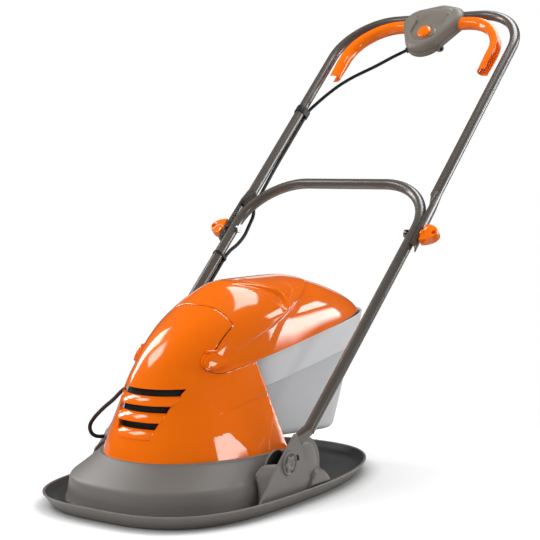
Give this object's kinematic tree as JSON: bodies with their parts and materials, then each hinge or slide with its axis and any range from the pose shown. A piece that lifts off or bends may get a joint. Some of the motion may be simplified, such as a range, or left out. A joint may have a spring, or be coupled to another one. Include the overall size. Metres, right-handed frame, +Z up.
{
  "type": "hover mower",
  "caption": "Electric hover mower with a flared oval deck, an orange motor hood, a lidded grass box and a folding tubular handle with squeeze start levers.",
  "frame": {"origin": "middle of the overall box, on the floor under the deck", "axes": "+Y to the rear along the handle, +X across, +Z up"},
  "size_m": [0.478, 1.0556, 0.8339],
  "materials": {
    "orange_gloss": "glossy moulded",
    "deck_grey": "satin moulded",
    "switch_grey": "satin moulded",
    "box_grey": "satin moulded",
    "tube_paint": "metallic powder coat",
    "bright_steel": "bright",
    "laminated_steel": "dull",
    "zinc_cast": "cast",
    "copper": "bright",
    "brass": "bright",
    "black_plastic": "matt moulded",
    "black_rubber": "matt"
  },
  "bodies": {
    "base": {"deck": "deck_grey", "bracket_left": "deck_grey", "bracket_right": "deck_grey", "pivot_bolt_left": "deck_grey", "pivot_bolt_right": "deck_grey", "hood": "orange_gloss", "intake_mesh": "black_plastic", "motor_base": "zinc_cast", "motor_core": "laminated_steel", "motor_coils": "copper", "motor_top": "zinc_cast", "top_bearing": "bright_steel", "lower_bearing": "bright_steel", "brush_holders": "brass", "brushes": "black_plastic", "motor_screws": "bright_steel", "lead_loop": "black_rubber"},
    "rotor": {"shaft": "bright_steel", "armature": "laminated_steel", "commutator": "copper", "impeller": "black_plastic", "spacers": "black_plastic", "blade": "bright_steel", "blade_washer": "bright_steel", "blade_bolt": "bright_steel"},
    "grass_collector": {"grass_box": "box_grey", "lid_hinge_pin": "bright_steel"},
    "collector_lid": {"lid": "orange_gloss"},
    "left_catch": {"catch_left": "orange_gloss"},
    "right_catch": {"catch_right": "orange_gloss"},
    "lower_frame": {"lower_handle": "tube_paint", "clamp_bolt_left": "bright_steel", "clamp_bolt_right": "bright_steel", "lead_lower": "black_rubber", "lead_tie": "black_plastic", "lead_fold": "black_rubber"},
    "upper_frame": {"upper_handle": "tube_paint", "switch_front_shell": "switch_grey", "switch_rear_shell": "switch_grey", "button_spring": "bright_steel", "lever_pins": "bright_steel", "switch_unit": "black_plastic", "switch_screws": "bright_steel", "lead_gland": "black_rubber", "mains_gland": "black_rubber", "lead_clip": "black_plastic", "lead_upper": "black_rubber"},
    "left_knob": {"knob_left": "orange_gloss"},
    "right_knob": {"knob_right": "orange_gloss"},
    "left_lever": {"lever_left": "orange_gloss"},
    "right_lever": {"lever_right": "orange_gloss"},
    "lock_off": {"lock_button": "orange_gloss"}
  },
  "joints": [
    {"name": "blade_spin", "type": "hinge", "parent": "base", "child": "rotor", "pos_m": [0, -0.34978, 0.05], "axis": [0, 0, 1], "continuous": true},
    {"name": "grass_box_draw", "type": "slide", "parent": "base", "child": "grass_collector", "axis": [0, 0.5, 0.866], "range_m": [0, 0.15]},
    {"name": "lid_hinge", "type": "hinge", "parent": "grass_collector", "child": "collector_lid", "pos_m": [0, 0.12522, 0.2644], "axis": [-1, 0, 0], "range_deg": [0, 60]},
    {"name": "catch_left_flip", "type": "hinge", "parent": "collector_lid", "child": "left_catch", "pos_m": [-0.06786, -0.33107, 0.235], "axis": [-0.3746, 0.9272, 0], "range_deg": [0, 10], "stiffness_Nm_per_rad": 0.3, "springref_deg": -11.46},
    {"name": "catch_right_flip", "type": "hinge", "parent": "collector_lid", "child": "right_catch", "pos_m": [0.06786, -0.33107, 0.235], "axis": [-0.3746, -0.9272, 0], "range_deg": [0, 10], "stiffness_Nm_per_rad": 0.3, "springref_deg": -11.46},
    {"name": "handle_pivot", "type": "hinge", "parent": "base", "child": "lower_frame", "pos_m": [0, -0.28378, 0.0675], "axis": [1, 0, 0], "range_deg": [0, 45], "deforming": ["lead_loop"]},
    {"name": "handle_fold", "type": "hinge", "parent": "lower_frame", "child": "upper_frame", "pos_m": [0, 0.07254, 0.40094], "axis": [1, 0, 0], "range_deg": [0, 150], "deforming": ["lead_fold"]},
    {"name": "knob_left_turn", "type": "hinge", "parent": "lower_frame", "child": "left_knob", "pos_m": [-0.215, 0.07254, 0.40094], "axis": [1, 0, 0], "continuous": true},
    {"name": "knob_right_turn", "type": "hinge", "parent": "lower_frame", "child": "right_knob", "pos_m": [0.215, 0.07254, 0.40094], "axis": [1, 0, 0], "continuous": true},
    {"name": "lever_left_squeeze", "type": "hinge", "parent": "upper_frame", "child": "left_lever", "pos_m": [-0.04, 0.49036, 0.79743], "axis": [0, 0.6884, -0.7254], "range_deg": [0, 4], "stiffness_Nm_per_rad": 2, "springref_deg": -8.59},
    {"name": "lever_right_squeeze", "type": "hinge", "parent": "upper_frame", "child": "right_lever", "pos_m": [0.04, 0.49036, 0.79743], "axis": [0, -0.6884, 0.7254], "range_deg": [0, 4], "stiffness_Nm_per_rad": 2, "springref_deg": -8.59},
    {"name": "lock_off_press", "type": "slide", "parent": "upper_frame", "child": "lock_off", "axis": [0, 0.6884, -0.7254], "range_m": [0, 0.003], "stiffness_N_per_m": 400, "springref_m": -0.005, "deforming": ["button_spring"]}
  ]
}
